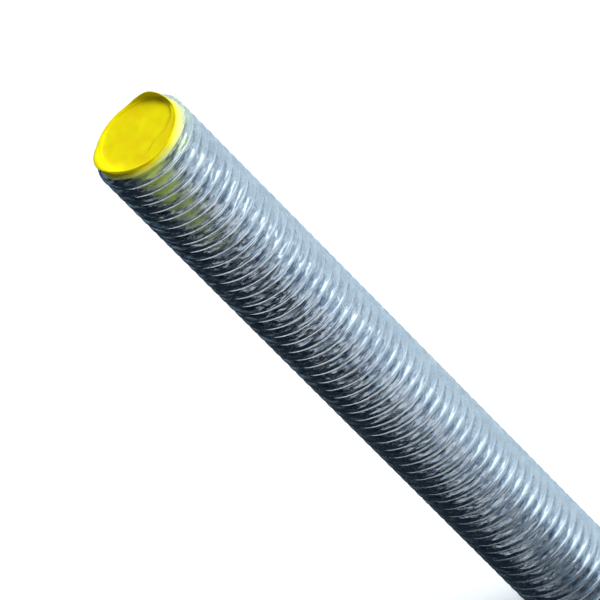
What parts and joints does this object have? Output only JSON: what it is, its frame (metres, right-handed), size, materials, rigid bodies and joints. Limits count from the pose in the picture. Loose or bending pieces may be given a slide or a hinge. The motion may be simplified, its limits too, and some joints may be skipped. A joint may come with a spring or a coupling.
{
  "type": "threaded rod",
  "caption": "Cut length of fully threaded steel rod, zinc plated, with a coarse left-hand metric thread, chamfered ends and a yellow strength mark painted on the end face.",
  "frame": {"origin": "centre of the plain lower end face, on the rod's axis", "axes": "+Z along the rod's axis from the plain end to the painted end; the higher of the two sheared lips stands on the +X side of the painted face"},
  "size_m": [0.02, 0.02, 0.1516],
  "materials": {
    "zinc_steel": "bright zinc plating on rolled steel thread, yellow paint on the upper end face"
  },
  "bodies": {
    "root": {"rod": "zinc_steel"}
  },
  "joints": []
}
